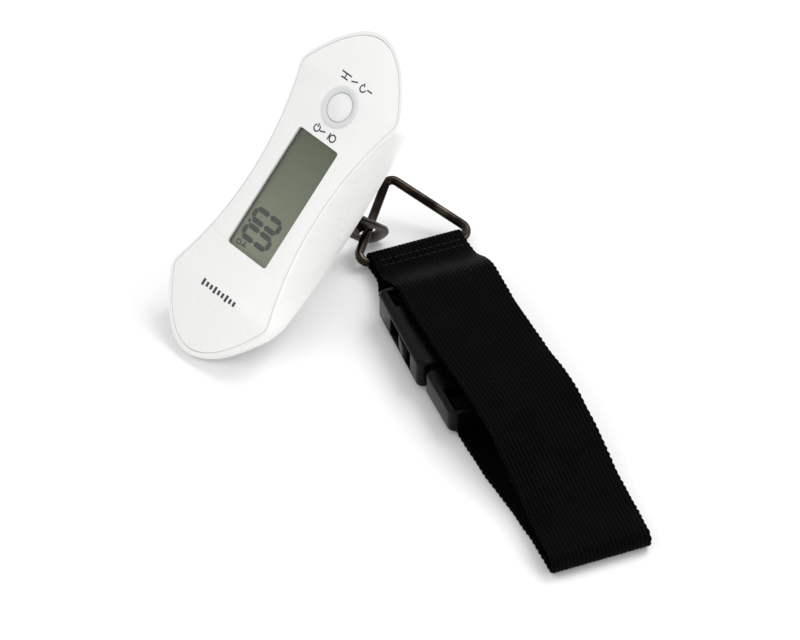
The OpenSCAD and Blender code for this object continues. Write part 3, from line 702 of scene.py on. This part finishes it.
# ---------------------------------------------------------------------------------------------------
# The hook: a black-nickelled stud turns in a white bush in the middle of the back, held inside by a nut
# on its washer. Its slotted head grips a flat steel plate with a round end, where the ring hangs.
nickel = metal("black_nickel", (0.06, 0.05, 0.043), 0.22, face_up, 0.000012)
softened("hook_bush", moulded("bush_acetal", (0.8, 0.8, 0.79), 0.35), "scale_body", 0.0003)
softened("hook_stud", nickel, "hook", 0.0004, 3)
softened("hook_washer", bright_steel, "hook", 0.0001)
softened("hook_nut", bright_steel, "hook", 0.0002)
softened("hook_plate", nickel, "hook", 0.00035, 3)

# ---------------------------------------------------------------------------------------------------
# The ring: one length of steel wire bent into a triangle, butted on the bar under the webbing, plated
# black nickel with the plating rubbed paler in random streaks.
bar_length, ring_height, bend_r, wire_r = 49, 31, 3, 1.75
ring_tilt = math.radians(27)
bar_height = bar_middle.z / MM


def tube(name, path, radius, material, place, rows=24):
    """A round wire swept along a path of points, its ends domed."""
    path = [Vector(p) for p in path]
    n = len(path)
    points, faces = [], []
    side = Vector((0, 0, 1))
    for i, p in enumerate(path):
        tangent = (path[min(i + 1, n - 1)] - path[max(i - 1, 0)]).normalized()
        side = (side - tangent * side.dot(tangent)).normalized()
        other = tangent.cross(side)
        points += [p + radius * (side * math.cos(a) + other * math.sin(a))
                   for a in (2 * math.pi * j / rows for j in range(rows))]
    for i in range(n - 1):
        for j in range(rows):
            k = (j + 1) % rows
            faces.append((i * rows + j, i * rows + k, (i + 1) * rows + k, (i + 1) * rows + j))
    faces += [tuple(range(rows))[::-1], tuple(range((n - 1) * rows, n * rows))]
    return mesh_from(name, points, faces, place, material)


def rounded_path(corners, radius):
    """A polyline with its inner corners turned round arcs."""
    path = [Vector(corners[0])]
    for before, corner, after in zip(corners, corners[1:], corners[2:]):
        corner = Vector(corner)
        a, b = (Vector(before) - corner).normalized(), (Vector(after) - corner).normalized()
        half = a.angle(b) / 2
        reach = radius / math.tan(half)
        centre = corner + (a + b).normalized() * radius / math.sin(half)
        first, last = corner + a * reach - centre, corner + b * reach - centre
        axis, turn = first.cross(last).normalized(), first.angle(last)
        n = max(10, int(turn * radius / 0.35))
        path += [centre + Matrix.Rotation(turn * i / n, 3, axis) @ first for i in range(n + 1)]
    return path + [Vector(corners[-1])]


tilt = Matrix.Translation((0, 0, bar_height)) @ Matrix.Rotation(ring_tilt, 4, "X")
butt = 0.12
corners = [(-butt, 0, 0), (-bar_length / 2, 0, 0), (0, ring_height, 0), (bar_length / 2, 0, 0), (butt, 0, 0)]
ring_metal = Finish("ring_nickel", (0.19, 0.17, 0.15), 0.2, Metallic=1.0)
spots = ring_metal.noise(330, 5)
streak = ring_metal.noise(90, 2)
plated, rubbed = (0.01, 0.007, 0.006, 1), (0.085, 0.07, 0.056, 1)
ring_metal.set(Base_Color=ring_metal.mix(streak.band(0.35, 0.75), plated, rubbed))
ring_metal.set(Roughness=spots.band(0.4, 0.8) * 0.14 + 0.1)
ring_metal.bump(spots, 0.00002, 0.35)
wire_line = rounded_path(corners, bend_r)
ring = tube("triangle_ring_wire", wire_line, wire_r, ring_metal.material, strap_axes @ tilt)
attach(ring, "ring")
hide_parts("triangle_ring")


# ---------------------------------------------------------------------------------------------------
# The webbing: 38 mm black nylon with a firm edge that shows each pick as a small bulge. The long piece
# is sewn round the ring's bar, rides over the buckle, folds at the far end and comes back underneath to
# the plug. A short piece ties the socket to the bar. Ways are (back from the bar, up from the surface).
web_width, web_thick, yarn_pitch, pick_pitch = 38, 1.5, 1.5, 2.6
strap_length, hump_height, fold_r = 174, 18, 3.4
buckle_start, socket_length, buckle_side = 26, 44, -3.5
buckle_end = buckle_start + socket_length
low = web_thick / 2
wrap_r = wire_r + 0.15 + low


def arc_points(centre, radius, start, end, n):
    angles = [math.radians(start + (end - start) * i / n) for i in range(n + 1)]
    return [(centre[0] + radius * math.cos(a), centre[1] + radius * math.sin(a)) for a in angles]


def ease(a, b, n):
    steps = [i / n for i in range(1, n)]
    return [(a[0] + (b[0] - a[0]) * t, a[1] + (b[1] - a[1]) * (3 - 2 * t) * t * t) for t in steps]


sewn_end, rise, past_buckle, fold_reach = 9, 9, 26, 22
over_start = (-sewn_end, bar_height + wrap_r)
over_up = (-buckle_start - rise, hump_height)
over_down = (-buckle_end - past_buckle, hump_height)
fold_top = (fold_reach - strap_length, 2 * fold_r + low - 0.9)
fold_middle = (fold_r - strap_length, fold_r + low)
plug_way = [(27, low), (24.6, 1.05), (23.6, 2.2), (23.5, 4), (23.5, 9), (22.7, 10.45), (21.4, 10.95),
            (19.2, 10.95), (17.9, 10.45), (17.2, 9), (17.2, 3.5)]
strap_way = arc_points((0, bar_height), wrap_r, 0, 90, 10) + [over_start] + ease(over_start, over_up, 12)
strap_way += [over_up] + [(over_up[0] + t * (over_down[0] - over_up[0]), hump_height)
                          for t in (0.25, 0.5, 0.75)]
strap_way += [over_down] + ease(over_down, fold_top, 12) + [fold_top]
strap_way += arc_points(fold_middle, fold_r, 90, 270, 14) + [(14 - strap_length, low)]
strap_drift = [0] * len(strap_way) + [buckle_side] * len(plug_way)
strap_way += [(-buckle_end - back, up) for back, up in plug_way]
socket_way = [(1.6, low), (3, 1.25), (3.7, 2.6), (3.7, 10.4), (4.5, 12.1), (5.6, 12.6), (7.9, 12.6),
              (9.2, 12.1), (10, 10.4), (10, 3.5)]
tab_way = arc_points((0, bar_height), wrap_r, -10, -90, 8) + [(-6, low), (-22, low)]
tab_drift = [0] * (len(tab_way) - 1) + [buckle_side] * (len(socket_way) + 1)
tab_way += [(-buckle_start - back, up) for back, up in socket_way]


def even_line(way, drift, spacing):
    """The line through (back, up) points at an even spacing: (back, up, sideways, distance run)."""
    marks = [0]
    for (a, b), (c, d) in zip(way, way[1:]):
        marks.append(marks[-1] + math.hypot(c - a, d - b))
    n = int(marks[-1] / spacing)
    line, i = [], 0
    for k in range(n + 1):
        run = marks[-1] * k / n
        while i < len(way) - 2 and marks[i + 1] < run:
            i += 1
        t = (run - marks[i]) / (marks[i + 1] - marks[i])
        smooth = t * t * (3 - 2 * t)
        line.append([way[i][0] + (way[i + 1][0] - way[i][0]) * t, way[i][1] + (way[i + 1][1] - way[i][1]) * t,
                     drift[i] + (drift[i + 1] - drift[i]) * smooth, run])
    for _ in range(3):
        inner = [[(p[j] + 2 * q[j] + r[j]) / 4 for j in range(3)] + [q[3]]
                 for p, q, r in zip(line, line[1:], line[2:])]
        line = [line[0]] + inner + [line[-1]]
    return line


def webbing(name, way, drift, material, bow, seed):
    """Webbing along a line, its edges scalloped by the picks and its face ribbed by the warp."""
    line = even_line(way, drift, 0.42)
    rng = random.Random(seed)
    waves = [(rng.uniform(20, 60), rng.uniform(0, 6.28), rng.uniform(0.04, 0.12)) for _ in range(5)]
    across = [-1 + 2 * i / 108 for i in range(109)]
    points, uvs, faces = [], [], []
    for i, (back, up, side, run) in enumerate(line):
        before, after = line[max(i - 1, 0)], line[min(i + 1, len(line) - 1)]
        along_line = Vector((0, after[0] - before[0], after[1] - before[1])).normalized()
        out = Vector((0, -along_line.z, along_line.y))
        uneven = 0.7 + 0.3 * math.sin(run / 3.1 + seed) * math.sin(run / 8.3)
        half = web_width / 2 - 0.6 + 0.6 * uneven * abs(math.sin(math.pi * run / pick_pitch))
        half += 0.2 * math.sin(run / 6.1 + seed) * math.sin(run / 15 + 1)
        side -= bow * math.sin(2 * math.pi * min(1, max(0, (-back - 10) / (strap_length - 14)))) * (up > 5.5)
        ring = []
        for face in (1, -1):
            for a in (across if face > 0 else across[::-1]):
                edge = max(0, (abs(a) - 0.965) / 0.035)
                ribs = abs(math.sin(math.pi * (a * half + 20) / yarn_pitch)) ** 0.7 * (1 - edge)
                thick = low * math.sqrt(max(0.0, 1 - 0.86 * edge * edge)) - 0.2 * (1 - edge) + 0.2 * ribs
                lift = sum(h * math.sin(run / w * 6.28 + p + 1.7 * a) for w, p, h in waves)
                lift *= 0.22 * min(1, run / 20)
                centre = Vector((side + a * half, back, up))
                ring.append(centre + out * (face * thick + (lift if up > 5.5 else 0)))
                uvs.append(((a * half + 20) * 0.01, run * 0.01))
        points += ring
    rows = 2 * len(across)
    for i in range(len(line) - 1):
        for j in range(rows):
            k = (j + 1) % rows
            faces.append((i * rows + j, i * rows + k, (i + 1) * rows + k, (i + 1) * rows + j))
    last = (len(line) - 1) * rows
    faces += [tuple(range(rows))[::-1], tuple(range(last, last + rows))]
    mesh_data = bpy.data.meshes.new(name)
    mesh_data.from_pydata([strap_axes @ p for p in points], [], faces)
    layer = mesh_data.uv_layers.new(name="weave")
    for loop in mesh_data.loops:
        layer.data[loop.index].uv = uvs[loop.vertex_index]
    bm = bmesh.new()
    bm.from_mesh(mesh_data)
    bmesh.ops.recalc_face_normals(bm, faces=bm.faces)
    bm.to_mesh(mesh_data)
    bm.free()
    return link_mesh(name, mesh_data, material), line[-1][3] * MM


# warp yarns run along it side by side and dip under each pick, every other one out of step
nylon = Finish("nylon_webbing", (0.003, 0.003, 0.003), 0.7, Specular_IOR_Level=0.025)
weave_place = nylon.node("UVMap", {"uv_map": "weave"})
weave_across = nylon.node("SeparateXYZ", None, {0: weave_place})
weave_along = Number(nylon, weave_across.socket.node.outputs["Y"])
yarn = weave_across * 100 / yarn_pitch
picks = weave_along * 100 * (math.pi / pick_pitch)
column = yarn.math("FLOOR", yarn)
crown = (yarn * math.pi).sine().size()
dip = (picks + column * (math.pi / 2)).sine().size()
fuzz = nylon.noise(2600, 4)
weave_height = crown.math("POWER", crown, 0.5) * (dip * 0.65 + 0.35) + fuzz * 0.25
worn = nylon.noise(70, 4).band(0.35, 0.75)
# painted highlight: the yarn crowns are coloured paler where light catches the weave, and worn patches are
# paler as real wear
crown_light_and_wear = (weave_height * 0.6 + worn * 0.5).band(0.2, 1.3)
nylon.set(Base_Color=nylon.mix(crown_light_and_wear, (0.0003, 0.0003, 0.0003, 1), (0.0019, 0.0019, 0.0021, 1)))
nylon.set(Roughness=fuzz * 0.25 + 0.42)
nylon.bump(weave_height, 0.00024, 0.9)
for name, way, drift, node, bow, seed in (("strap_webbing", strap_way, strap_drift, "strap", 1.7, 3),
                                          ("tab_webbing", tab_way, tab_drift, "strap_tab", 0, 8)):
    cloth, cloth_length = webbing(name, way, drift, nylon.material, bow, seed)
    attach(cloth, "strap_loop")
    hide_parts(node)

# two rows of lock stitches in bonded black thread hold the wrap closed
thread = moulded("bonded_thread", (0.004, 0.004, 0.004), 0.45, 3000, 0.00001, 0.2)
stitch_place = strap_axes @ Matrix.Translation((0, 0, bar_height + wrap_r + low - 0.22))
for row in (-7.6, -4.4):
    for i in range(12):
        x = -16.2 + 2.75 * i
        arch = [(x + 2.1 * t, row + 0.12 * math.sin(9 * t), 0.26 * math.sin(math.pi * t)) for t in
               (k / 8 for k in range(9))]
        strand = tube(f"stitch_{int(-row)}_{i}", arch, 0.2, thread, stitch_place, 10)
        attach(strand, "strap_loop")
        if i == 0:
            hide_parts("stitching")

# ---------------------------------------------------------------------------------------------------
# The side release buckle, black acetal with a fine spark-eroded grain: a hollow socket with two slots
# for the short webbing, and a plug whose arms spring out through the socket's sides.
acetal = moulded("black_acetal", (0.0012, 0.0012, 0.0013), 0.24, 2400, 0.000015, 0.12)
buckle_width, buckle_thick, buckle_height, plug_width, slot_half = 47, 12, 1.9, 43.5, 19.5


def buckle_axes(back):
    return strap_axes @ Matrix.Translation((buckle_side, -back, buckle_height))


def rounded_off(piece, width, steps=4, limit=40):
    edge_break = piece.modifiers.new("break", "BEVEL")
    edge_break.width = width
    edge_break.segments = steps
    edge_break.limit_method = "ANGLE"
    edge_break.angle_limit = math.radians(limit)
    apply_modifiers(piece)
    shade_by_angle(piece, 50)


at_socket = buckle_axes(buckle_start)
outline = []
corner_spots = [(buckle_width / 2 - 3, 3 - socket_length, -90), (buckle_width / 2 - 4.2, -3, 0),
                (4.2 - buckle_width / 2, -3, 90), (3 - buckle_width / 2, 3 - socket_length, 180)]
for x, y, start in corner_spots:
    outline += arc_points((x, y), 3, start, start + 90, 8)
points = [(x, y, z) for z in (0, buckle_thick) for x, y in outline]
socket = mesh_from("buckle_socket_shell", points, sides_and_ends(len(outline)), at_socket, smooth=False)
rounded_off(socket, 0.0016, 5, 60)
for y, deep_cut in ((-11.5, 3), (-5, 2.6)):
    combine(socket, block((-slot_half, y, -1), (slot_half, y + deep_cut, 19), at_socket))
combine(socket, block((-slot_half, -11.5, 9.7), (slot_half, -2.4, 30), at_socket))
combine(socket, slab("mouth", 41, socket_length - 13, 2.4, buckle_thick - 2.4, 1.5,
                     (0, -socket_length - 1 + (socket_length - 13) / 2), at_socket))
for s in (-1, 1):
    centre = s * buckle_width / 2
    window = slab("window", 12, 21, 2, buckle_thick - 2, 2.4, (centre, -socket_length + 19.5), at_socket)
    combine(socket, window)
for i in range(4):
    y = -socket_length + 15 + 2.4 * i
    combine(socket, slab("grip", 15, 0.9, buckle_thick - 0.35, buckle_thick + 1, 0.4, (0, y), at_socket, 4))
dress(socket, acetal)
rounded_off(socket, 0.00018, 2, 50)
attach(socket, "strap_loop")
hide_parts("buckle_socket")

at_plug = buckle_axes(buckle_end)
plug = slab("buckle_plug_body", plug_width, 25.5, 0, buckle_thick - 2, 3.2, (0, -13.25), at_plug)
rounded_off(plug, 0.0014, 5, 60)
combine(plug, slab("guide", 10, 24.6, 3, buckle_thick - 3.2, 2, (0, 11.1), at_plug), "UNION")
for y, length in ((-18.6, 6), (-25, 3)):
    combine(plug, block((-slot_half, y, -1), (slot_half, y + length, 19), at_plug))
combine(plug, block((-slot_half, -25, 8.1), (slot_half, -13, 28), at_plug))
dress(plug, acetal)
rounded_off(plug, 0.0002, 2, 50)
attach(plug, "strap_loop")
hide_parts("buckle_plug")
softened("release_arm_left", acetal, "arm_left", 0.0007, 4)
softened("release_arm_right", acetal, "arm_right", 0.0007, 4)

# ---------------------------------------------------------------------------------------------------
# The floor: a plain sheet of matt white board, with a faint tooth and slightly uneven whiteness. It
# isn't part of the scale.
card = Finish("white_board", (0.9, 0.9, 0.9), 0.75, Specular_IOR_Level=0.1)
card.set(Base_Color=card.mix(card.noise(6, 3).band(0.3, 0.7), (0.9, 0.9, 0.9, 1), (0.915, 0.915, 0.912, 1)))
card.set(Roughness=card.noise(40, 3) * 0.1 + 0.7)
card.bump(card.noise(900, 3), 0.00002, 0.4)
floor = block((-900, -900, -1.5), (900, 900, 0), Matrix.Scale(MM, 4), "floor")
dress(floor, card.material)
